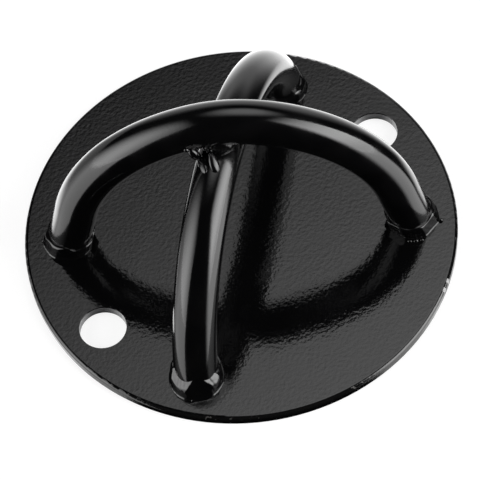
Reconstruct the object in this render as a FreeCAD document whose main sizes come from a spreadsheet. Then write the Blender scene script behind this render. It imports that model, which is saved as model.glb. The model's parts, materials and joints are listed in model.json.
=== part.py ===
"""Ceiling hook: a round steel plate with two bent round bars that cross over its middle.

All lengths are in millimetres and all angles in degrees. The mounting face, the underside of the
plate, is at z = 0 with its centre at the origin, and the bars arch up from it. The two screw holes
lie on the X axis. The upper bar stands on its own plane and the lower bar passes beneath its crown.
"""
import FreeCAD
import Part
import Sketcher
import math
import os

doc = FreeCAD.newDocument("ceiling_hook")
V = FreeCAD.Vector

# Driving sizes. Heights and half spans of a bar are those of its centre line over the plate's top.
SIZES = [
    ("plate_dia", 120.0, "diameter of the base plate"),
    ("plate_thickness", 3.0, "thickness of the base plate"),
    ("plate_edge_round", 1.0, "rounding of the plate's upper edge"),
    ("plate_edge_break", 0.3, "chamfer of the plate's lower edge"),
    ("hole_dia", 13.0, "diameter of a screw hole"),
    ("hole_margin", 5.25, "metal between a screw hole and the plate's rim"),
    ("bar_dia", 12.0, "diameter of both bars"),
    ("bar_turn", 37.0, "angle of each bar's plane from the line of the screw holes"),
    ("upper_rise", 53.0, "height of the upper bar's crown"),
    ("upper_foot_margin", 12.25, "centre of the upper bar's foot from the plate's rim"),
    ("upper_crown_radius", 34.0, "bend radius at the crown of the upper bar"),
    ("upper_crown_turn", 17.1, "half turn of the bend at the crown"),
    ("upper_leg_lean", 14.0, "lean of the upper bar's straight legs towards the middle"),
    ("lower_foot_margin", 11.85, "centre of the lower bar's foot from the plate's rim"),
    ("lower_lean", 2.9, "sideways lean of the lower bar, as it was welded"),
    ("root_gap", 0.2, "gap between the bars at the crossing, which the weld fills"),
    ("trim_allowance", 5.0, "length that a bar and a weld run on before they are cut to the plate"),
    ("foot_weld_leg", 1.4, "width of a foot weld on the plate, outside the bar"),
    ("foot_weld_height", 6.5, "height of a foot weld up the bar"),
    ("foot_weld_bite", 0.3, "depth to which a foot weld is drawn into the bar before it is cut"),
    ("foot_weld_face_radius", 30.0, "radius of a foot weld's bulging face"),
    ("crossing_weld_leg", 1.2, "how far the weld between the bars stands past their sides"),
    ("crossing_weld_half_height", 4.0, "half height of the weld between the bars"),
    ("crossing_weld_bulge", 2.2, "how far that weld bulges past its upper and lower rim"),
]

sheet = doc.addObject("Spreadsheet::Sheet", "sizes")
for row, (alias, value, note) in enumerate(SIZES, start=1):
    sheet.set(f"A{row}", alias)
    sheet.set(f"B{row}", str(value))
    sheet.set(f"C{row}", note)
    sheet.setAlias(f"B{row}", alias)
doc.recompute()

# Sizes that follow from the driving ones.
FOLLOWING = [
    ("hole_reach", "sizes.plate_dia / 2 - sizes.hole_margin - sizes.hole_dia / 2",
     "screw hole from the middle"),
    ("upper_half_span", "sizes.plate_dia / 2 - sizes.upper_foot_margin", "upper bar's foot from the middle"),
    ("bend_sine", "sin(sizes.upper_crown_turn + sizes.upper_leg_lean)",
     "share that the crown and the lean take of the shoulder's reach"),
    ("shoulder_radius",
     "(upper_half_span * cos(sizes.upper_leg_lean) - sizes.upper_crown_radius * bend_sine"
     " - (sizes.upper_rise - sizes.upper_crown_radius) * sin(sizes.upper_leg_lean)) / (1 - bend_sine)",
     "bend radius of the upper bar's shoulders, which brings the leg down on its foot"),
    ("shoulder_x", "(sizes.upper_crown_radius - shoulder_radius) * sin(sizes.upper_crown_turn)",
     "middle of the shoulder bend"),
    ("shoulder_z", "sizes.upper_rise - sizes.upper_crown_radius"
     " + (sizes.upper_crown_radius - shoulder_radius) * cos(sizes.upper_crown_turn)",
     "middle of the shoulder bend"),
    ("leg_top_x", "shoulder_x + shoulder_radius * cos(sizes.upper_leg_lean)", "top of the straight leg"),
    ("leg_top_z", "shoulder_z + shoulder_radius * sin(sizes.upper_leg_lean)", "top of the straight leg"),
    ("leg_end_x", "upper_half_span + sizes.trim_allowance * tan(sizes.upper_leg_lean)",
     "end of the untrimmed leg"),
    ("lower_half_span", "sizes.plate_dia / 2 - sizes.lower_foot_margin", "lower bar's foot from the middle"),
    ("lower_rise", "(sizes.upper_rise - sizes.bar_dia - sizes.root_gap) / cos(sizes.lower_lean)",
     "height of the lower bar's crown, in its own plane"),
    ("lower_bend_radius", "(lower_half_span ^ 2 + lower_rise ^ 2) / (2 * lower_rise)",
     "bend radius of the lower bar, from foot to foot over its crown"),
    ("lower_centre_z", "lower_rise - lower_bend_radius", "middle of the lower bar's bend"),
    ("lower_foot_lean", "-asin(lower_centre_z / lower_bend_radius)", "lean of the lower bar at its foot"),
    ("lower_half_turn", "90deg + asin((lower_centre_z + sizes.trim_allowance) / lower_bend_radius)",
     "half turn of the untrimmed lower bar"),
    ("lower_weld_lean", "lower_foot_lean + sizes.foot_weld_height / lower_bend_radius / 2 * 1rad",
     "lean of the lower bar over the height of its foot welds"),
    ("weld_slope", "sizes.foot_weld_leg / sizes.foot_weld_height", "taper of a foot weld"),
    ("crossing_z", "lower_rise + (sizes.bar_dia + sizes.root_gap) / 2",
     "meeting point, in the lower bar's plane"),
    ("crossing_x", "-crossing_z * sin(sizes.lower_lean) / tan(2 * sizes.bar_turn)",
     "meeting point, along the lower bar from its crown"),
    ("crossing_reach", "sizes.bar_dia / 2 + sizes.crossing_weld_leg", "radius of the crossing weld's waist"),
    ("crossing_rim", "crossing_reach - sizes.crossing_weld_bulge", "radius of the crossing weld's rims"),
    ("crossing_face_radius",
     "(sizes.crossing_weld_half_height ^ 2 + sizes.crossing_weld_bulge ^ 2) / (2 * sizes.crossing_weld_bulge)",
     "radius of the crossing weld's bulging face"),
]
worked_out = doc.addObject("Spreadsheet::Sheet", "worked_out")
for row, (alias, rule, note) in enumerate(FOLLOWING, start=1):
    worked_out.set(f"A{row}", alias)
    worked_out.set(f"C{row}", note)
    worked_out.setAlias(f"B{row}", alias)
    worked_out.set(f"B{row}", f"={rule}")
doc.recompute()


def body(name):
    """An empty body to sketch in."""
    return doc.addObject("PartDesign::Body", name)


def origin_plane(owner, role):
    """One of the body's own planes."""
    return next(item for item in owner.Origin.OriginFeatures if item.Role == role)


def sketch(owner, name, role):
    """A sketch on one of the body's own planes."""
    made = owner.newObject("Sketcher::SketchObject", name)
    made.AttachmentSupport = (origin_plane(owner, role), "")
    made.MapMode = "FlatFace"
    return made


def now(made, rule):
    """The present value of a rule, as a plain number."""
    value = made.evalExpression(rule)
    return getattr(value, "Value", value)


def drive(made, kind, *places, rule):
    """Add a dimension to a sketch and tie it to the sizes."""
    value = now(made, rule)
    start = math.radians(value) if kind == "Angle" else value
    index = made.addConstraint(Sketcher.Constraint(kind, *places, start))
    made.setExpression(f"Constraints[{index}]", rule)


def place(made, geometry, point, x_rule, y_rule):
    """Fix one point of a sketch's geometry at two signed distances from the sketch's origin."""
    drive(made, "DistanceX", -1, 1, geometry, point, rule=x_rule)
    drive(made, "DistanceY", -1, 1, geometry, point, rule=y_rule)


def circle(made, x_rule, y_rule, radius_rule):
    """A circle whose centre and radius follow the sizes."""
    centre = V(now(made, x_rule), now(made, y_rule), 0)
    index = made.addGeometry(Part.Circle(centre, V(0, 0, 1), now(made, radius_rule)))
    place(made, index, 3, x_rule, y_rule)
    drive(made, "Radius", index, rule=radius_rule)
    return index


def turned_profile(made, low_x, low_z, middle, high_x, high_z):
    """An outline to turn about the sketch's upright axis: floor, arched face, lid and core.

    The face runs from (low_x, low_z) to (high_x, high_z), and all four of these are rules.
    """
    x0, z0, x1, z1 = (now(made, rule) for rule in (low_x, low_z, high_x, high_z))
    floor = made.addGeometry(Part.LineSegment(V(0, z0, 0), V(x0, z0, 0)))
    face = made.addGeometry(Part.Arc(V(x0, z0, 0), middle, V(x1, z1, 0)))
    lid = made.addGeometry(Part.LineSegment(V(x1, z1, 0), V(0, z1, 0)))
    core = made.addGeometry(Part.LineSegment(V(0, z1, 0), V(0, z0, 0)))
    for first, second in ((floor, face), (face, lid), (lid, core), (core, floor)):
        made.addConstraint(Sketcher.Constraint("Coincident", first, 2, second, 1))
    for level in (floor, lid):
        made.addConstraint(Sketcher.Constraint("Horizontal", level))
    for end in (1, 2):
        made.addConstraint(Sketcher.Constraint("PointOnObject", core, end, -2))
    place(made, floor, 2, low_x, low_z)
    place(made, lid, 1, high_x, high_z)
    return face


def turn(owner, name, outline):
    """The solid that an outline makes when it is turned once about its own upright axis."""
    made = owner.newObject("PartDesign::Revolution", name)
    made.Profile = outline
    made.ReferenceAxis = (outline, ["V_Axis"])
    made.Angle = 360
    return made


def cut(name, base, *tools):
    """What is left of one shape outside the others."""
    group = doc.addObject("Part::Compound", f"{name}_tools")
    group.Links = list(tools)
    made = doc.addObject("Part::Cut", name)
    made.Base = base
    made.Tool = group
    made.Label = name
    return made


# Base plate: a flat disc with a rounded upper edge and two round screw holes.
plate = body("base_plate")
plate.Label = "base_plate"
disc_outline = sketch(plate, "disc_outline", "XY_Plane")
circle(disc_outline, "0", "0", "sizes.plate_dia / 2")
disc = plate.newObject("PartDesign::Pad", "disc")
disc.Profile = disc_outline
disc.setExpression("Length", "sizes.plate_thickness")
hole_outline = sketch(plate, "hole_outline", "XY_Plane")
circle(hole_outline, "-worked_out.hole_reach", "0", "sizes.hole_dia / 2")
circle(hole_outline, "worked_out.hole_reach", "0", "sizes.hole_dia / 2")
holes = plate.newObject("PartDesign::Pocket", "holes")
holes.Profile = hole_outline
holes.Reversed = True
holes.setExpression("Length", "sizes.plate_thickness")
doc.recompute()


def rim_edge(shape, z):
    """Name of the circular rim edge of the plate that lies at height z."""
    same = 1e-6
    rim = sheet.plate_dia / 2
    for number, edge in enumerate(shape.Edges, start=1):
        box = edge.BoundBox
        if abs(box.XMax - rim) < same and abs(box.ZMin - z) < same and abs(box.ZMax - z) < same:
            return f"Edge{number}"


rounding = plate.newObject("PartDesign::Fillet", "edge_round")
rounding.Base = (holes, [rim_edge(holes.Shape, sheet.plate_thickness)])
rounding.setExpression("Radius", "sizes.plate_edge_round")
doc.recompute()
edge_break = plate.newObject("PartDesign::Chamfer", "edge_break")
edge_break.Base = (rounding, [rim_edge(rounding.Shape, 0.0)])
edge_break.setExpression("Size", "sizes.plate_edge_break")

# Everything under the plate's top, which the bars' ends and the foot welds are cut by.
under_top = doc.addObject("Part::Cylinder", "under_plate_top")
under_top.setExpression("Radius", "sizes.plate_dia")
under_top.setExpression("Height", "sizes.plate_dia")
under_top.setExpression("Placement.Base.z", "sizes.plate_thickness - sizes.plate_dia")

# Upper bar: half of it is swept from the crown down to the foot, and the other half mirrors it.
upper_bar = body("upper_bar_bent")
upper_path = sketch(upper_bar, "upper_path", "XZ_Plane")
crown_radius = sheet.upper_crown_radius
shoulder_radius = worked_out.shoulder_radius
crown_turn = sheet.upper_crown_turn
crown = upper_path.addGeometry(Part.ArcOfCircle(
    Part.Circle(V(0, sheet.upper_rise - crown_radius, 0), V(0, 0, 1), crown_radius),
    math.radians(90 - crown_turn), math.radians(90)))
shoulder = upper_path.addGeometry(Part.ArcOfCircle(
    Part.Circle(V(worked_out.shoulder_x, worked_out.shoulder_z, 0), V(0, 0, 1), shoulder_radius),
    math.radians(sheet.upper_leg_lean), math.radians(90 - crown_turn)))
leg = upper_path.addGeometry(Part.LineSegment(
    V(worked_out.leg_top_x, worked_out.leg_top_z, 0), V(worked_out.leg_end_x, -sheet.trim_allowance, 0)))
upper_path.addConstraint(Sketcher.Constraint("PointOnObject", crown, 3, -2))
upper_path.addConstraint(Sketcher.Constraint("PointOnObject", crown, 2, -2))
upper_path.addConstraint(Sketcher.Constraint("Tangent", crown, 1, shoulder, 2))
upper_path.addConstraint(Sketcher.Constraint("Tangent", shoulder, 1, leg, 1))
drive(upper_path, "DistanceY", -1, 1, crown, 2, rule="sizes.upper_rise")
drive(upper_path, "Radius", crown, rule="sizes.upper_crown_radius")
drive(upper_path, "Radius", shoulder, rule="worked_out.shoulder_radius")
drive(upper_path, "Angle", leg, rule="(sizes.upper_leg_lean - 90) * 1deg")
place(upper_path, leg, 2, "worked_out.leg_end_x", "-sizes.trim_allowance")
upper_section = sketch(upper_bar, "upper_section", "YZ_Plane")
circle(upper_section, "0", "sizes.upper_rise", "sizes.bar_dia / 2")
upper_sweep = upper_bar.newObject("PartDesign::AdditivePipe", "upper_sweep")
upper_sweep.Profile = upper_section
upper_sweep.Spine = upper_path
doc.recompute()
upper_mirror = upper_bar.newObject("PartDesign::Mirrored", "upper_mirror")
upper_mirror.Originals = [upper_sweep]
upper_mirror.MirrorPlane = (origin_plane(upper_bar, "YZ_Plane"), [""])
upper_bar.Tip = upper_mirror
upper_bar.setExpression(
    "Placement",
    "placement(vector(0; 0; sizes.plate_thickness); rotation(-sizes.bar_turn; 0; 0))")

# Lower bar: one bend from foot to foot, so its section is turned about the middle of that bend.
lower_bar = body("lower_bar_bent")
lower_section = sketch(lower_bar, "lower_section", "YZ_Plane")
circle(lower_section, "0", "worked_out.lower_rise", "sizes.bar_dia / 2")
bend_axis = lower_section.addGeometry(Part.LineSegment(
    V(-sheet.bar_dia, worked_out.lower_centre_z, 0), V(sheet.bar_dia, worked_out.lower_centre_z, 0)), True)
lower_section.addConstraint(Sketcher.Constraint("Horizontal", bend_axis))
place(lower_section, bend_axis, 1, "-sizes.bar_dia", "worked_out.lower_centre_z")
drive(lower_section, "Distance", bend_axis, rule="2 * sizes.bar_dia")
lower_turn = lower_bar.newObject("PartDesign::Revolution", "lower_turn")
lower_turn.Profile = lower_section
lower_turn.ReferenceAxis = (lower_section, ["Axis0"])
lower_turn.Midplane = True
lower_turn.setExpression("Angle", "2 * worked_out.lower_half_turn")
lower_bar.setExpression(
    "Placement",
    "placement(vector(0; 0; sizes.plate_thickness); rotation(sizes.bar_turn; 0; -sizes.lower_lean))")
doc.recompute()

upper = cut("upper_bar", upper_bar, under_top)
lower = cut("lower_bar", lower_bar, under_top)


def foot_weld(name, bar, side, half_span_rule, lean_rule):
    """A tapered bead round one foot of a bar, turned about the bar's own line where it meets the plate."""
    bead = body(f"{name}_bead")
    outline = sketch(bead, f"{name}_outline", "XZ_Plane")
    low_x = "sizes.bar_dia / 2 + sizes.foot_weld_leg + sizes.trim_allowance * worked_out.weld_slope"
    low_z = "-sizes.trim_allowance"
    high_x = "sizes.bar_dia / 2 - sizes.foot_weld_bite"
    high_z = "sizes.foot_weld_height + sizes.foot_weld_bite / worked_out.weld_slope"
    low = V(now(outline, low_x), now(outline, low_z), 0)
    high = V(now(outline, high_x), now(outline, high_z), 0)
    chord = high - low
    outward = V(chord.y, -chord.x, 0).normalize()
    radius = sheet.foot_weld_face_radius
    bulge = radius - math.sqrt(radius ** 2 - (chord.Length / 2) ** 2)
    middle = (low + high) * 0.5 + outward * bulge
    face = turned_profile(outline, low_x, low_z, middle, high_x, high_z)
    drive(outline, "Radius", face, rule="sizes.foot_weld_face_radius")
    turn(bead, f"{name}_turn", outline)
    bead.setExpression(
        "Placement",
        f"{bar.Name}.Placement * placement(vector({side} * {half_span_rule}; 0; 0);"
        f" rotation(0; {-side} * {lean_rule}; 0))")
    return cut(name, bead, bar, under_top)


UPPER = (upper_bar, "worked_out.upper_half_span", "sizes.upper_leg_lean")
LOWER = (lower_bar, "worked_out.lower_half_span", "worked_out.lower_weld_lean")
foot_welds = [foot_weld(name, bar, side, half_span, lean) for name, side, (bar, half_span, lean) in (
    ("weld_upper_bar_right", 1, UPPER),
    ("weld_upper_bar_left", -1, UPPER),
    ("weld_lower_bar_rear", 1, LOWER),
    ("weld_lower_bar_front", -1, LOWER),
)]

# Weld between the bars: a barrel round the point where they meet, less the bars themselves.
crossing_bead = body("crossing_bead")
barrel = sketch(crossing_bead, "barrel_outline", "XZ_Plane")
barrel_side = turned_profile(
    barrel,
    "worked_out.crossing_rim", "-sizes.crossing_weld_half_height",
    V(worked_out.crossing_reach, 0, 0),
    "worked_out.crossing_rim", "sizes.crossing_weld_half_height")
drive(barrel, "Radius", barrel_side, rule="worked_out.crossing_face_radius")
turn(crossing_bead, "crossing_turn", barrel)
crossing_bead.setExpression(
    "Placement",
    "lower_bar_bent.Placement * placement(vector(worked_out.crossing_x; 0; worked_out.crossing_z);"
    " rotation(0; 0; 0))")
crossing_weld = cut("weld_crossing", crossing_bead, upper_bar, lower_bar)

doc.recompute()

# Check the whole document, then write each piece.
for item in doc.Objects:
    if "Invalid" in item.State or "Error" in item.State:
        raise RuntimeError(f"{item.Name} failed: {item.State}")
PIECES = [plate, upper, lower, *foot_welds, crossing_weld]
os.makedirs("parts", exist_ok=True)
for piece in PIECES:
    shape = piece.Shape
    if shape.isNull() or not shape.isValid() or len(shape.Solids) != 1:
        raise RuntimeError(f"{piece.Label} isn't one valid solid")
for piece in PIECES:
    piece.Shape.exportStep(f"parts/{piece.Label}.step")
    box = piece.Shape.BoundBox
    print(f"{piece.Label:22s} volume {piece.Shape.Volume:9.1f}  z {box.ZMin:6.2f} to {box.ZMax:6.2f}"
          f"  x {box.XMin:7.2f} to {box.XMax:7.2f}  y {box.YMin:7.2f} to {box.YMax:7.2f}")
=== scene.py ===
"""Ceiling hook: gloss black paint over a round plate, two bent bars and the welds that hold them.

All lengths are in metres and all angles in radians. The plate's underside is at z = 0 with its middle
at the origin, and the screw holes lie on the X axis. The upper bar's plane is turned clockwise from
that line and the lower bar's plane as far the other way.
"""
import bmesh
import bpy
import json
import math
from mathutils import Matrix, Vector


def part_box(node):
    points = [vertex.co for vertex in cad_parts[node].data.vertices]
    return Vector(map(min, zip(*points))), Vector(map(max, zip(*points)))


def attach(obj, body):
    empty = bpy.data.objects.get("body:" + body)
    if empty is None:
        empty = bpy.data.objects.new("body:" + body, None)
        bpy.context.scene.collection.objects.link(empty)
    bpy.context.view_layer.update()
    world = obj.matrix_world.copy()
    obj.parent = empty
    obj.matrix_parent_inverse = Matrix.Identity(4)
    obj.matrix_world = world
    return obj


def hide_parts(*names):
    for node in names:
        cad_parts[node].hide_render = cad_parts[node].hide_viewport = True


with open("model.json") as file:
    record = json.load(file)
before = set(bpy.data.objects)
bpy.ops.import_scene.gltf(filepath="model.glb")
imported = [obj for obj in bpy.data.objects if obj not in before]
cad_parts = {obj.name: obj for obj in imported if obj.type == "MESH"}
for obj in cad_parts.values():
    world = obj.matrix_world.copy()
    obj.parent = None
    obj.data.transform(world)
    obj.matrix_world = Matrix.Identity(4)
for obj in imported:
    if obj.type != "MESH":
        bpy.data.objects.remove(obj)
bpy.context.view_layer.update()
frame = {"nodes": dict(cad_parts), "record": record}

MM = 0.001
DEGREE = math.pi / 180

# Sizes of the plate, as the frame gives them.
PLATE_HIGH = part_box("base_plate")[1]
PLATE_RADIUS = PLATE_HIGH[0]
PLATE_TOP = PLATE_HIGH[2]
SCREW_HOLES = next(mount for mount in frame["record"]["mounts"] if mount["name"] == "screw_holes")
HOLE_RADIUS = SCREW_HOLES["dims"]["hole_r_mm"] * MM
HOLE_REACH = SCREW_HOLES["dims"]["spacing_x_mm"] * MM / 2

# Sizes of the bars. Heights and spans are those of a bar's centre line over the plate's top.
BAR_RADIUS = 6 * MM
BAR_TURN = 37 * DEGREE
UPPER_RISE = 53 * MM
UPPER_CROWN_RADIUS = 34 * MM
UPPER_CROWN_TURN = 17.1 * DEGREE
UPPER_LEG_LEAN = 14 * DEGREE
UPPER_HALF_SPAN = PLATE_RADIUS - 12.25 * MM
LOWER_HALF_SPAN = PLATE_RADIUS - 11.85 * MM
LOWER_LEAN = 2.9 * DEGREE
ROOT_GAP = 0.2 * MM
LOWER_RISE = (UPPER_RISE - 2 * BAR_RADIUS - ROOT_GAP) / math.cos(LOWER_LEAN)
LOWER_BEND_RADIUS = (LOWER_HALF_SPAN ** 2 + LOWER_RISE ** 2) / (2 * LOWER_RISE)
BEND_SINE = math.sin(UPPER_CROWN_TURN + UPPER_LEG_LEAN)
UPPER_SHOULDER_RADIUS = (
    UPPER_HALF_SPAN * math.cos(UPPER_LEG_LEAN) - UPPER_CROWN_RADIUS * BEND_SINE
    - (UPPER_RISE - UPPER_CROWN_RADIUS) * math.sin(UPPER_LEG_LEAN)) / (1 - BEND_SINE)
BAR_STEPS = 301
BAR_SIDES = 96
WELD_SIDES = 192

# Sizes of a full weld bead round a foot, and the lean of the lower bar at half its height.
FOOT_WELD_LEG = 1.4 * MM
FOOT_WELD_HEIGHT = 6.5 * MM
LOWER_WELD_LEAN = math.asin((LOWER_BEND_RADIUS - LOWER_RISE + FOOT_WELD_HEIGHT / 2) / LOWER_BEND_RADIUS)

# Colours of the paint, and of the floor and light.
BLACK = (0.0018, 0.0018, 0.002, 1)
WORN = (0.05, 0.048, 0.046, 1)
THINLY_PAINTED = (0.2, 0.2, 0.203, 1)
CHIPPED = (0.42, 0.42, 0.42, 1)
FLOOR_GREY = (0.22, 0.22, 0.22, 1)
WHITE = (1, 1, 1, 1)

# The photograph's own frame is turned back by this much about Z. Its Y axis points away from the camera.
VIEW_BEARING = 32.64 * DEGREE
VIEW_TURN = Matrix.Rotation(-VIEW_BEARING, 4, "Z")


class Value:
    """One output of a node. Python's own operators on it add Math nodes to its tree."""

    def __init__(self, graph, socket):
        self.graph = graph
        self.socket = socket

    def math(self, operation, *terms):
        node = self.graph.add("ShaderNodeMath", {"operation": operation}, dict(enumerate(terms)))
        return Value(self.graph, node.outputs[0])

    def __add__(self, other):
        return self.math("ADD", self, other)

    def __radd__(self, other):
        return self.math("ADD", other, self)

    def __sub__(self, other):
        return self.math("SUBTRACT", self, other)

    def __rsub__(self, other):
        return self.math("SUBTRACT", other, self)

    def __mul__(self, other):
        return self.math("MULTIPLY", self, other)

    def __rmul__(self, other):
        return self.math("MULTIPLY", other, self)

    def __truediv__(self, other):
        return self.math("DIVIDE", self, other)

    def __rtruediv__(self, other):
        return self.math("DIVIDE", other, self)

    def __pow__(self, other):
        return self.math("POWER", self, other)

    def __neg__(self):
        return self.math("MULTIPLY", self, -1)

    def __abs__(self):
        return self.math("ABSOLUTE", self)

    def root(self):
        return self.math("SQRT", self)

    def sin(self):
        return self.math("SINE", self)

    def cos(self):
        return self.math("COSINE", self)

    def sign(self):
        return self.math("SIGN", self)

    def angle(self, other):
        """The angle of the point whose parts are other, along, and this value, across."""
        return self.math("ARCTAN2", self, other)

    def soft_least(self, other, reach):
        """The lesser of two values, rounded over where they cross."""
        return self.math("SMOOTH_MIN", self, other, reach)

    def least(self, other):
        return self.math("MINIMUM", self, other)

    def most(self, other):
        return self.math("MAXIMUM", self, other)

    def step(self, low, high, at_low, at_high):
        """One level at low, another at high and a smooth step between them."""
        node = self.graph.add("ShaderNodeMapRange", {"interpolation_type": "SMOOTHSTEP"}, {
            "Value": self, "From Min": low, "From Max": high, "To Min": at_low, "To Max": at_high})
        return Value(self.graph, node.outputs["Result"])

    def between(self, low, high):
        """0 at low, 1 at high and a smooth step between them. Low may be the greater of the two."""
        return self.step(low, high, 0.0, 1.0)

    def fade(self, start, end, left_over=0.0):
        """1 at start, what is left over at end and a smooth step between them."""
        return self.step(start, end, 1.0, left_over)


class Graph:
    """A node tree, and the one way in which nodes are added to it."""

    def __init__(self, tree):
        self.tree = tree

    def add(self, kind, settings=None, inputs=None):
        """Add a node, make its settings, then fill or link its inputs."""
        node = self.tree.nodes.new(kind)
        for name, value in (settings or {}).items():
            setattr(node, name, value)
        for key, value in (inputs or {}).items():
            self.fill(node.inputs[key], value)
        return node

    def fill(self, socket, value):
        """Link a Value or another node's socket to this socket, or set a plain number or colour on it."""
        if isinstance(value, Value):
            value = value.socket
        if isinstance(value, bpy.types.NodeSocket):
            self.tree.links.new(value, socket)
        else:
            socket.default_value = value

    def value(self, kind, settings=None, inputs=None, output=0):
        """Add a node and give one of its outputs as a Value."""
        return Value(self, self.add(kind, settings, inputs).outputs[output])

    def parts(self, vector):
        """The three components of a vector."""
        node = self.add("ShaderNodeSeparateXYZ", None, {0: vector})
        return [Value(self, output) for output in node.outputs]

    def vector(self, x, y, z):
        return self.value("ShaderNodeCombineXYZ", None, {0: x, 1: y, 2: z})


class Shape(Graph):
    """A Geometry Nodes tree with named inputs, which ends in Realize Instances and Set Material."""

    def __init__(self, name):
        tree = bpy.data.node_groups.new(name, "GeometryNodeTree")
        super().__init__(tree)
        tree.interface.new_socket("Geometry", in_out="OUTPUT", socket_type="NodeSocketGeometry")
        self.material = self.ask("Material", "NodeSocketMaterial")

    def ask(self, name, kind="NodeSocketFloat"):
        """A named input of the tree."""
        self.tree.interface.new_socket(name, in_out="INPUT", socket_type=kind)
        group_input = self.tree.nodes.get("Group Input") or self.tree.nodes.new("NodeGroupInput")
        return Value(self, group_input.outputs[name])

    def place(self):
        """The three parts of each point's place, as the mesh stands where they are used."""
        return self.parts(self.value("GeometryNodeInputPosition"))

    def blank(self, segments):
        """A closed cylinder of radius 1 from z = -1 to z = 1, to be pushed into a weld's shape."""
        return self.value("GeometryNodeMeshCylinder", {"fill_type": "NGON"}, {
            "Vertices": WELD_SIDES, "Side Segments": segments, "Radius": 1.0, "Depth": 2.0}, "Mesh")

    def moved(self, geometry, x, y, z):
        """The geometry with its points at these places."""
        return self.value("GeometryNodeSetPosition", None, {
            "Geometry": geometry, "Position": self.vector(x, y, z)})

    def turned(self, geometry, rotation, translation=(0, 0, 0)):
        """The geometry turned about the origin and then shifted, each by three parts."""
        return self.value("GeometryNodeTransform", None, {
            "Geometry": geometry, "Rotation": self.vector(*rotation),
            "Translation": self.vector(*translation)})

    def rough(self, size, seed):
        """Noise from -1 to 1 at the points, with lumps of about this size."""
        level = self.value("ShaderNodeTexNoise", {"noise_dimensions": "4D"}, {
            "Vector": self.value("GeometryNodeInputPosition"), "W": seed, "Scale": 1 / size,
            "Detail": 2.0}, "Fac")
        return level * 4 - 2

    def finish(self, geometry):
        smooth = self.value("GeometryNodeSetShadeSmooth", None, {"Geometry": geometry})
        realized = self.value("GeometryNodeRealizeInstances", None, {"Geometry": smooth})
        dressed = self.value("GeometryNodeSetMaterial", None, {
            "Geometry": realized, "Material": self.material})
        self.add("NodeGroupOutput", None, {"Geometry": dressed})
        return self.tree


def grow(name, tree, **inputs):
    """A plain mesh object that a Geometry Nodes tree makes. Its input named Bar radius is bar_radius here."""
    seed = bpy.data.objects.new(f"{name}_seed", bpy.data.meshes.new(f"{name}_seed"))
    bpy.context.scene.collection.objects.link(seed)
    modifier = seed.modifiers.new("shape", "NODES")
    modifier.node_group = tree
    sockets = {item.name: item.identifier for item in tree.interface.items_tree if item.in_out == "INPUT"}
    for key, value in inputs.items():
        modifier[sockets[key.replace("_", " ").capitalize()]] = value
    evaluated = seed.evaluated_get(bpy.context.evaluated_depsgraph_get())
    mesh = bpy.data.meshes.new_from_object(evaluated)
    mesh.name = name
    seed.modifiers.remove(modifier)
    bpy.data.objects.remove(seed)
    piece = bpy.data.objects.new(name, mesh)
    bpy.context.scene.collection.objects.link(piece)
    return piece


def settle(piece, node):
    """Let a finished piece stand for its CAD node and take its place on the part."""
    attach(piece, "root")
    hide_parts(node)


def noise(graph, place, size, detail=2.0):
    """Noise round 0.5 with waves of about this size."""
    return graph.value(
        "ShaderNodeTexNoise", None, {"Vector": place, "Scale": 1 / size, "Detail": detail}, "Fac")


def paint(name, roughness, peel_size, peel_height, wear=None):
    """Gloss black paint with orange peel. Wear gives, from the paint's tree and a place on the surface, the
    paler layers over the black: how much of each shows there, and its colour."""
    material = bpy.data.materials.new(name)
    material.use_nodes = True
    graph = Graph(material.node_tree)
    shader = material.node_tree.nodes["Principled BSDF"]
    place = graph.value("ShaderNodeTexCoord", None, None, "Object")
    thick = noise(graph, place, 9 * MM, 1.0).between(0.35, 0.65)
    layers = wear(graph, place) if wear else [(thick * 0.02, WORN)]
    colour, worn = BLACK, 0.0
    for share, paler in layers:
        # A colour's Mix node has its factor at 0, its colours at 6 and 7, and its result at 2.
        colour = graph.value("ShaderNodeMix", {"data_type": "RGBA"}, {0: share, 6: colour, 7: paler}, 2)
        worn = share + worn
    broad_peel = noise(graph, place, peel_size) * (0.8 + 0.4 * thick)
    fine_peel = noise(graph, place, 0.3 * peel_size) * 0.12
    bump = graph.value(
        "ShaderNodeBump", None, {"Height": broad_peel + fine_peel, "Distance": peel_height}, "Normal")
    graph.fill(shader.inputs["Base Color"], colour)
    # Thick paint is a little duller than thin paint, and worn paint much duller.
    graph.fill(shader.inputs["Roughness"], roughness * (0.85 + 0.3 * thick) + 0.35 * worn)
    graph.fill(shader.inputs["Normal"], bump)
    return material


def near_bearing(x, y, out, bearing, inner, outer):
    """1 within the inner angle of a bearing from the plate's middle, and 0 past the outer one."""
    nearness = (x * math.cos(bearing) + y * math.sin(bearing)) / out
    return nearness.between(math.cos(outer), math.cos(inner))


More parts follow.
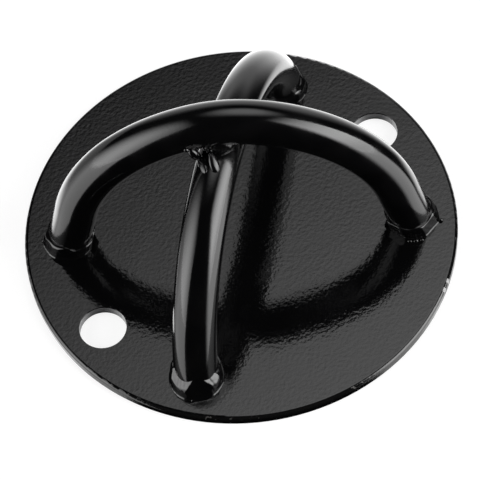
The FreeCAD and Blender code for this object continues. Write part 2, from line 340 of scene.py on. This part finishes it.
def rim_wear(graph, place):
    """Paint rubbed thin along stretches of the plate's upper edge, two small chips, and thin paint in the
    holes. The bearings are those of the worst places in the photograph."""
    rubbed_at = (-95.6 * DEGREE, -58.8 * DEGREE, 152 * DEGREE)
    chipped_at = (-60.2 * DEGREE, -57.4 * DEGREE)
    x, y, z = graph.parts(place)
    out = (x ** 2 + y ** 2).root()
    on_rim = out.between(PLATE_RADIUS - 0.75 * MM, PLATE_RADIUS - 0.35 * MM) * z.between(1.2 * MM, 2.2 * MM)
    rubbed = noise(graph, place, 16 * MM, 1.0).between(0.58, 0.66)
    for bearing in rubbed_at:
        rubbed = rubbed.most(near_bearing(x, y, out, bearing, 2.5 * DEGREE, 5 * DEGREE))
    specks = noise(graph, place, 1.1 * MM, 1.0).between(0.62, 0.66)
    chipped = 0.0
    for bearing in chipped_at:
        chipped = near_bearing(x, y, out, bearing, 0.4 * DEGREE, 0.75 * DEGREE).most(chipped)
    from_hole = ((abs(x) - HOLE_REACH) ** 2 + y ** 2).root()
    in_hole = from_hole.between(HOLE_RADIUS + 0.1 * MM, HOLE_RADIUS)
    in_hole *= z.between(PLATE_TOP - 0.3 * MM, PLATE_TOP - 0.7 * MM)
    return [
        (on_rim * (0.05 + 0.95 * rubbed * specks), WORN),
        (in_hole * 0.9, THINLY_PAINTED),
        (on_rim * chipped * 0.9, CHIPPED)]


def arch_tree():
    """A round bar along a symmetrical arch: crown bend, shoulder bends, straight legs, flat ends."""
    shape = Shape("arch")
    rise = shape.ask("Rise")
    crown_radius = shape.ask("Crown radius")
    crown_turn = shape.ask("Crown turn")
    shoulder_radius = shape.ask("Shoulder radius")
    shoulder_turn = shape.ask("Shoulder turn")
    leg_length = shape.ask("Leg length")
    bar_radius = shape.ask("Bar radius")
    lean = shape.ask("Lean")
    turn = shape.ask("Turn")
    floor = shape.ask("Floor")
    crown_length = crown_radius * crown_turn
    shoulder_length = shoulder_radius * shoulder_turn
    half_length = crown_length + shoulder_length + leg_length

    # A straight line as long as the bar is bent along the arch, point by point.
    line = shape.value("GeometryNodeCurvePrimitiveLine", None, {
        "Start": shape.vector(-half_length, 0, 0), "End": shape.vector(half_length, 0, 0)})
    line = shape.value("GeometryNodeResampleCurve", None, {"Curve": line, "Count": BAR_STEPS})
    along = shape.place()[0]
    way = abs(along)
    on_crown = way.least(crown_length)
    on_shoulder = (way - crown_length).most(0).least(shoulder_length)
    on_leg = (way - crown_length - shoulder_length).most(0)
    crown_angle = on_crown / crown_radius
    shoulder_angle = crown_turn + on_shoulder / shoulder_radius
    end_angle = crown_turn + shoulder_turn
    crown_out = crown_radius * crown_angle.sin()
    shoulder_out = shoulder_radius * (shoulder_angle.sin() - crown_turn.sin())
    out = crown_out + shoulder_out + on_leg * end_angle.cos()
    crown_drop = crown_radius * (1 - crown_angle.cos())
    shoulder_drop = shoulder_radius * (crown_turn.cos() - shoulder_angle.cos())
    drop = crown_drop + shoulder_drop + on_leg * end_angle.sin()
    bent = shape.moved(line, out * along.sign(), 0, rise - drop)

    section = shape.value(
        "GeometryNodeCurvePrimitiveCircle", None, {"Resolution": BAR_SIDES, "Radius": bar_radius})
    bar = shape.value("GeometryNodeCurveToMesh", None, {
        "Curve": bent, "Profile Curve": section, "Fill Caps": True})
    bar = shape.turned(bar, (-lean, 0, turn), (0, 0, floor))
    # What runs on below the plate's top is pressed flat on it.
    x, y, z = shape.place()
    return shape.finish(shape.moved(bar, x, y, z.most(floor)))


def bars(material):
    """The two bent bars. Each leg runs on past the plate's top, where it is cut flat."""
    tree = arch_tree()
    trim = 3 * MM
    shoulder_turn = math.pi / 2 - UPPER_LEG_LEAN - UPPER_CROWN_TURN
    crown_drop = UPPER_CROWN_RADIUS * (1 - math.cos(UPPER_CROWN_TURN))
    shoulder_drop = UPPER_SHOULDER_RADIUS * (
        math.cos(UPPER_CROWN_TURN) - math.cos(UPPER_CROWN_TURN + shoulder_turn))
    leg_top = UPPER_RISE - crown_drop - shoulder_drop
    upper = grow(
        "upper_bar_painted", tree, material=material, rise=UPPER_RISE, crown_radius=UPPER_CROWN_RADIUS,
        crown_turn=UPPER_CROWN_TURN, shoulder_radius=UPPER_SHOULDER_RADIUS, shoulder_turn=shoulder_turn,
        leg_length=leg_top / math.cos(UPPER_LEG_LEAN) + trim, bar_radius=BAR_RADIUS, lean=0.0,
        turn=-BAR_TURN, floor=PLATE_TOP)
    settle(upper, "upper_bar")
    # The lower bar is one arc, so its crown and shoulder bends share one radius.
    foot_turn = math.pi / 2 + math.asin((LOWER_RISE - LOWER_BEND_RADIUS) / LOWER_BEND_RADIUS)
    lower = grow(
        "lower_bar_painted", tree, material=material, rise=LOWER_RISE, crown_radius=LOWER_BEND_RADIUS,
        crown_turn=foot_turn / 2, shoulder_radius=LOWER_BEND_RADIUS, shoulder_turn=foot_turn / 2,
        leg_length=trim, bar_radius=BAR_RADIUS, lean=LOWER_LEAN, turn=BAR_TURN, floor=PLATE_TOP)
    settle(lower, "lower_bar")


def foot_weld_tree():
    """A weld bead round a leaning bar's foot: a low collar, hammered into flats, with ripples and a toe.

    Leg is how far the bead stands out from its bar, and inner share the part of its height that it keeps on
    the bar's inner side. Flats turn is the first flat's direction and slope its lean inwards. A greater
    shoulder makes the collar's upper edge squarer, and lumps is how far its size wavers, as a share.
    """
    shape = Shape("foot_weld")
    reach, turn, lean, side_lean, floor, bar_radius = (
        shape.ask(name) for name in ("Reach", "Turn", "Lean", "Side lean", "Floor", "Bar radius"))
    leg, height, inner_share, flats_turn, slope, shoulder, lumps, seed = (
        shape.ask(name) for name in (
            "Leg", "Height", "Inner share", "Flats turn", "Slope", "Shoulder", "Lumps", "Seed"))
    # The bead reaches a little into the plate and the bar, so that no slit shows.
    sunk = 0.05 * MM
    hidden = 0.25 * MM
    toe_width = 0.22 * MM
    toe_height = 0.55 * MM
    ripple_height = 0.012 * MM
    ripple_pitch = 0.5 * MM
    flat_rounding = 0.25 * MM
    lump_size = 2.4 * MM

    barrel = shape.blank(56)
    x, y, z = shape.place()
    way_round = y.angle(x)
    # The upper toe wavers, and is lower on the bar's inner side.
    crest = height * (1 + 0.07 * (way_round * 3 + seed).sin() + 0.04 * (way_round * 7 - seed * 2).sin())
    crest = crest * abs(way_round).fade(50 * DEGREE, 105 * DEGREE, inner_share)
    level = (z + 1) / 2 * (crest + sunk) - sunk
    part_way = (level / crest).most(0)

    # The leaning bar's own section, and the collar round it with its rounded shoulder.
    section = ((way_round.cos() * lean.cos()) ** 2 + (way_round.sin() * side_lean.cos()) ** 2).root()
    bar = bar_radius / section
    collar = bar + (leg + hidden) * (1 - part_way ** shoulder).most(0).root() - hidden

    # Eight flats, at slightly uneven turns. Each has its slope, and the shares of the leg and the height at
    # which it lies. Every second one slopes less and is cut deeper.
    deep_slope = slope.least(0.22)
    for number in range(8):
        tilt, leg_share, pivot_share = (deep_slope, 0.6, 0.45) if number % 2 else (slope, 0.95, 0.55)
        uneven = 0.12 * math.sin(number * 2.4)
        middle = flats_turn + number * math.pi / 4 + uneven
        offset = tilt.cos() * (bar_radius + leg * leg_share) + tilt.sin() * height * pivot_share
        flat = (offset - level * tilt.sin()) / (tilt.cos() * (way_round - middle).cos().most(0.3))
        collar = collar.soft_least(flat, flat_rounding)

    # A toe on the plate, and fine ripples that end below the upper toe.
    toe = level.fade(0.0, toe_height) * toe_width
    ripple = (way_round * 34 + (way_round * 5 + seed).sin() * 2 + level / ripple_pitch).sin()
    ripple = ripple * ripple_height * part_way.fade(0.7, 0.95)
    radius = collar.most(bar - hidden) + toe + ripple
    barrel = shape.moved(barrel, radius * way_round.cos(), radius * way_round.sin(), level)

    # Small lumps push the bead in and out, less towards its upper toe. Then it leans with its bar.
    x, y, z = shape.place()
    swelling = 1 + shape.rough(lump_size, seed) * lumps * (z / height).fade(0.75, 1.0)
    x, y = x * swelling, y * swelling
    out = reach + x - z * lean.sin() / lean.cos()
    side = y + z * side_lean.sin() / side_lean.cos()
    barrel = shape.moved(barrel, out, side, z + floor)
    return shape.finish(shape.turned(barrel, (0, 0, turn)))


def foot_welds(material):
    """The four beads round the bars' feet. Each has its own size, flats, lumps and seed."""
    beads = {
        "weld_upper_bar_right": dict(
            reach=UPPER_HALF_SPAN, turn=-BAR_TURN, lean=UPPER_LEG_LEAN, side_lean=0.0,
            leg=0.95 * MM, height=4.6 * MM, inner_share=0.9, flats_turn=10 * DEGREE, slope=0.0,
            shoulder=20.0, lumps=0.011, seed=1.3),
        "weld_upper_bar_left": dict(
            reach=UPPER_HALF_SPAN, turn=math.pi - BAR_TURN, lean=UPPER_LEG_LEAN, side_lean=0.0,
            leg=0.95 * MM, height=4.8 * MM, inner_share=0.9, flats_turn=30 * DEGREE, slope=0.0,
            shoulder=20.0, lumps=0.011, seed=4.1),
        "weld_lower_bar_rear": dict(
            reach=LOWER_HALF_SPAN, turn=BAR_TURN, lean=LOWER_WELD_LEAN, side_lean=LOWER_LEAN,
            leg=1.05 * MM, height=5.2 * MM, inner_share=0.9, flats_turn=0.0, slope=4 * DEGREE,
            shoulder=8.0, lumps=0.016, seed=7.7),
        "weld_lower_bar_front": dict(
            reach=LOWER_HALF_SPAN, turn=math.pi + BAR_TURN, lean=LOWER_WELD_LEAN, side_lean=-LOWER_LEAN,
            leg=FOOT_WELD_LEG, height=FOOT_WELD_HEIGHT, inner_share=0.55, flats_turn=-24.6 * DEGREE,
            slope=37 * DEGREE, shoulder=5.0, lumps=0.012, seed=2.6),
    }
    tree = foot_weld_tree()
    for name, sizes in beads.items():
        bead = grow(
            f"{name}_painted", tree, material=material, floor=PLATE_TOP, bar_radius=BAR_RADIUS, **sizes)
        settle(bead, name)


def crossing_weld(material):
    """The uneven weld that fills the corners between the bars where they cross. It is drawn about an
    eighth smaller across than its CAD solid."""
    shape = Shape("crossing_weld")
    middle_x, middle_y, low, high, reach, rim, turn, seed = (
        shape.ask(name) for name in ("Middle x", "Middle y", "Low", "High", "Reach", "Rim", "Turn", "Seed"))
    squeeze = 1.22
    barrel = shape.blank(64)
    x, y, z = shape.place()
    way_round = y.angle(x)
    # Longer along the lower bar than across it, and widest at half height.
    squeezed = (way_round.cos() ** 2 + (way_round.sin() * squeeze) ** 2) ** -0.5
    radius = (rim + (reach - rim) * (1 - z ** 2).most(0).root()) * squeezed
    level = (low + high) / 2 + z * (high - low) / 2
    barrel = shape.moved(barrel, radius * way_round.cos(), radius * way_round.sin(), level)
    # Large lumps and small ones push it in and out.
    x, y, z = shape.place()
    swelling = 0.955 + shape.rough(2.3 * MM, seed) * 0.05 + shape.rough(0.9 * MM, seed) * 0.006
    barrel = shape.moved(barrel, x * swelling, y * swelling, z)
    barrel = shape.turned(barrel, (0, 0, turn), (middle_x, middle_y, 0))
    box_low, box_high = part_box("weld_crossing")
    weld = grow(
        "weld_crossing_painted", shape.finish(barrel), material=material,
        middle_x=(box_low[0] + box_high[0]) / 2, middle_y=(box_low[1] + box_high[1]) / 2, low=box_low[2],
        high=box_high[2], reach=0.88 * (box_high[0] - box_low[0]) / 2, rim=5 * MM,
        turn=BAR_TURN, seed=3.4)
    settle(weld, "weld_crossing")


def spatter(material):
    """Drops and runs of weld metal. Each lies from one point to another, faces one way, and is so wide and
    so deep, all in millimetres. A taper of more than 0 makes it wider at its end."""
    up = Vector((0, 0, 1))
    to_left = Vector((-0.62, -0.27, 0.735))
    to_right = Vector((0.12, -0.645, 0.755))
    rows = (
        # At the crossing: a ball on the upper bar, a lump in the corner, a ridge down the leg and a drop.
        ((-12.5, 2.1, 52.9), (-12.2, 2.0, 52.5), up, 1.3, 1.3, 0.0),
        ((-11.2, 1.4, 51.4), (-10.3, 0.5, 49.2), to_left, 2.6, 2.4, 0.0),
        ((-9.9, -0.5, 48.2), (-11.1, -3.4, 48.4), to_left, 2.7, 1.5, -0.3),
        ((-7.9, -2.9, 50.6), (-8.8, -5.3, 48.9), to_right, 2.7, 1.5, 0.5),
        # At the right foot: a ball on the outer side and a row of small ones on the plate.
        ((43.1, -34.4, 3.5), (43.3, -34.6, 3.4), up, 1.1, 1.1, 0.0),
        ((32.3, -33.9, 3.1), (32.6, -34.2, 3.1), up, 0.9, 0.9, 0.0),
        ((33.6, -35.0, 3.1), (34.0, -35.2, 3.1), up, 1.0, 1.0, 0.0),
        ((35.1, -35.9, 3.1), (35.4, -36.0, 3.1), up, 0.8, 0.8, 0.0),
        # At the front foot's toe.
        ((-43.9, -34.0, 3.1), (-43.3, -34.1, 3.1), up, 0.9, 0.9, 0.0),
        # At the rear and left feet, out of the camera's sight.
        ((44.6, 32.4, 3.1), (45.0, 32.0, 3.1), up, 1.0, 1.0, 0.0),
        ((-43.6, 33.2, 3.1), (-43.9, 32.9, 3.1), up, 0.8, 0.8, 0.0),
    )
    drops = bmesh.new()
    for start, end, facing, width, depth, taper in rows:
        start, end = Vector(start) * MM, Vector(end) * MM
        along = end - start
        long_way = along.normalized()
        across = facing.cross(long_way).normalized()
        axes = Matrix((long_way.cross(across), across, long_way)).transposed()
        drop = bmesh.ops.create_icosphere(drops, subdivisions=4, radius=0.5)
        for point in drop["verts"]:
            wider = 1 + taper * point.co.z
            point.co = (start + end) / 2 + axes @ Vector((
                point.co.x * depth * MM * wider, point.co.y * width * MM * wider,
                point.co.z * (along.length + width * MM)))
    mesh = bpy.data.meshes.new("weld_spatter")
    drops.to_mesh(mesh)
    drops.free()
    for polygon in mesh.polygons:
        polygon.use_smooth = True
    mesh.materials.append(material)
    piece = bpy.data.objects.new("weld_spatter", mesh)
    bpy.context.scene.collection.objects.link(piece)
    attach(piece, "root")


def lamp(name, shape, place, width, height, level):
    """An area lamp at a place in the photograph's frame. Gives its node tree and both ways across it."""
    data = bpy.data.lights.new(name, "AREA")
    data.shape = shape
    data.size = width
    data.size_y = height
    data.energy = level * math.pi * width * height
    data.use_nodes = True
    holder = bpy.data.objects.new(name, data)
    bpy.context.scene.collection.objects.link(holder)
    holder.matrix_world = VIEW_TURN @ place
    holder.visible_camera = False
    graph = Graph(data.node_tree)
    across, up, _ = graph.parts(graph.value("ShaderNodeNewGeometry", None, None, "Parametric"))
    return graph, across, up


def shine(graph, strength):
    """Let a lamp shine by this much of its level."""
    graph.fill(graph.tree.nodes["Emission"].inputs["Strength"], strength)


def tall_box(name, azimuth, half_width, height, level):
    """A soft box that stands on the floor, some way off, and faces the hook. Its size is given as angles."""
    away = 2.0
    tall = away * math.tan(height)
    out = Vector((math.sin(azimuth), math.cos(azimuth), 0))
    upright = Vector((0, 0, 1))
    place = Matrix((upright.cross(out), upright, out)).transposed().to_4x4()
    place.translation = out * away + upright * tall / 2
    return lamp(name, "RECTANGLE", place, 2 * away * math.tan(half_width), tall, level)


def lamps():
    """Tall soft boxes at the right and left, and an oval one overhead, a little behind the hook."""
    graph, across, up = tall_box(
        "right_box", azimuth=112 * DEGREE, half_width=26 * DEGREE, height=63 * DEGREE, level=8.0)
    shine(graph, up.fade(0.2, 0.0, 0.65) * up.fade(0.2, 0.9) * across.fade(0.3, 0.0))
    graph, across, up = tall_box(
        "left_box", azimuth=-95 * DEGREE, half_width=38 * DEGREE, height=65 * DEGREE, level=5.2)
    shine(graph, up.fade(0.12, 0.9) * across.fade(0.6, 1.0, 0.5) * across.fade(0.6, 0.0))
    over = 1.5
    place = Matrix.Translation((0.23 * over, 0.36 * over, over))
    graph, across, up = lamp(
        "top_box", "ELLIPSE", place, width=1.3 * over, height=1.1 * over, level=1.7)
    off_middle = ((2 * across - 1) ** 2 + (2 * up - 1) ** 2) ** 0.5
    shine(graph, off_middle.fade(0.2, 1.0))


def ray_kinds(graph):
    """1 for a ray from the camera, a mirrored ray and a ray through glass, and otherwise 0."""
    light_path = graph.add("ShaderNodeLightPath")
    kinds = ("Is Camera Ray", "Is Glossy Ray", "Is Transmission Ray")
    return [Value(graph, light_path.outputs[kind]) for kind in kinds]


def pale_floor():
    """A floor that is white to the camera. Mirrored rays pass through it, and so does the view from below."""
    reach = 12.0
    # It lies a hair under the plate, so that the two faces don't fall together.
    height = -0.02 * MM
    corners = [(x * reach, y * reach, height) for x, y in ((-1, -1), (1, -1), (1, 1), (-1, 1))]
    mesh = bpy.data.meshes.new("floor")
    mesh.from_pydata(corners, [], [(0, 1, 2, 3)])
    floor = bpy.data.objects.new("floor", mesh)
    bpy.context.scene.collection.objects.link(floor)
    material = bpy.data.materials.new("pale_floor")
    material.use_nodes = True
    graph = Graph(material.node_tree)
    camera_ray, glossy_ray, through_ray = ray_kinds(graph)
    shader = material.node_tree.nodes["Principled BSDF"]
    graph.fill(shader.inputs["Base Color"], FLOOR_GREY)
    graph.fill(shader.inputs["Roughness"], 0.9)
    graph.fill(shader.inputs["Emission Color"], WHITE)
    graph.fill(shader.inputs["Emission Strength"], camera_ray.most(through_ray) * 0.83)
    underneath = graph.value("ShaderNodeNewGeometry", None, None, "Backfacing")
    clear = graph.value("ShaderNodeBsdfTransparent")
    surface = graph.value("ShaderNodeMixShader", None, {
        0: glossy_ray.most(camera_ray * underneath), 1: shader.outputs[0], 2: clear})
    graph.fill(material.node_tree.nodes["Material Output"].inputs["Surface"], surface)
    mesh.materials.append(material)


def band(angle, start, first, last, end):
    """1 from the first to the last angle, with smooth steps down to 0 at the start and end."""
    return angle.between(start, first) * angle.between(end, last)


def mirrored_level(azimuth, up):
    """How bright the surroundings are that the gloss paint mirrors. Azimuth is in degrees, 0 straight
    behind the hook and 90 at its right. Up is 1 overhead and -1 straight down, and below 0 the level is
    that of the floor."""
    down = (-up).most(0)
    below = up.between(0.02, -0.03)
    steep = down.between(0.72, 0.82)
    # A bright backdrop behind the hook, and a wider one in the floor.
    backdrop = band(azimuth, -38, -8, 30, 62) * up.between(0.62, 0.2) * (1 + 2.4 * down)
    wide_backdrop = band(azimuth, -80, -60, 60, 80) * down.between(0.4, 0.65)
    behind = backdrop.most(wide_backdrop * 2.4) * (1 - 0.7 * steep)
    # At the left, a strong and a weak band in the floor, and another in the steepest directions.
    left = band(azimuth, -133, -129, -90, -58) * (2.7 - 1.9 * down) * below
    left += band(azimuth, -80, -62, -40, -22) * 0.5 * below
    left = left * (1 - steep) + band(azimuth, -108, -98, -45, -20) * 0.85 * steep
    # At the right, a band whose inner edge slants, and another in the steepest directions.
    right = (azimuth + 12 * down).between(88, 95) * azimuth.between(140, 122) * (3.9 - 3.0 * down) * below
    right = right * (1 - steep) + band(azimuth, 45, 62, 106, 118) * 0.9 * steep
    return behind + left + right


def studio():
    """A pale floor, a white background and soft light."""
    scene = bpy.context.scene
    scene.view_settings.view_transform = "Standard"
    pale_floor()
    lamps()
    world = bpy.data.worlds.new("studio")
    world.use_nodes = True
    graph = Graph(world.node_tree)
    camera_ray, glossy_ray, through_ray = ray_kinds(graph)
    direction = graph.value("ShaderNodeMapping", None, {
        "Vector": graph.value("ShaderNodeTexCoord", None, None, "Generated"),
        "Rotation": (0, 0, VIEW_BEARING)})
    right, away, up = graph.parts(direction)
    mirrored = mirrored_level(right.angle(away) / DEGREE, up)
    background = world.node_tree.nodes["Background"]
    graph.fill(background.inputs["Color"], WHITE)
    graph.fill(background.inputs["Strength"], camera_ray.most(through_ray).most(glossy_ray * mirrored))
    scene.world = world


def camera():
    """The photograph's view, from a long lens in front of the front foot and well above the plate."""
    height = 58.03 * DEGREE
    roll = -7.28 * DEGREE
    distance = 970.17 * MM
    aside = -0.53 * MM
    above = -1.58 * MM
    back = Vector((0, -math.cos(height), math.sin(height)))
    right = Vector((1, 0, 0))
    up = back.cross(right)
    data = bpy.data.cameras.new("camera")
    data.lens = 262.5
    data.sensor_width = 36
    data.clip_start = 0.01
    data.clip_end = 20
    viewer = bpy.data.objects.new("camera", data)
    bpy.context.scene.collection.objects.link(viewer)
    axes = Matrix((
        right * math.cos(roll) + up * math.sin(roll),
        up * math.cos(roll) - right * math.sin(roll),
        back)).transposed().to_4x4()
    axes.translation = right * aside + up * above + back * distance
    viewer.matrix_world = VIEW_TURN @ axes
    bpy.context.scene.camera = viewer


weld_paint = paint("weld_paint", roughness=0.13, peel_size=0.8 * MM, peel_height=0.006 * MM)
bar_paint = paint("bar_paint", roughness=0.13, peel_size=0.8 * MM, peel_height=0.008 * MM)
plate_paint = paint(
    "plate_paint", roughness=0.07, peel_size=1.05 * MM, peel_height=0.03 * MM, wear=rim_wear)
bars(bar_paint)
foot_welds(weld_paint)
crossing_weld(weld_paint)
spatter(weld_paint)
plate = frame["nodes"]["base_plate"]
plate.data.materials.clear()
plate.data.materials.append(plate_paint)
studio()
camera()
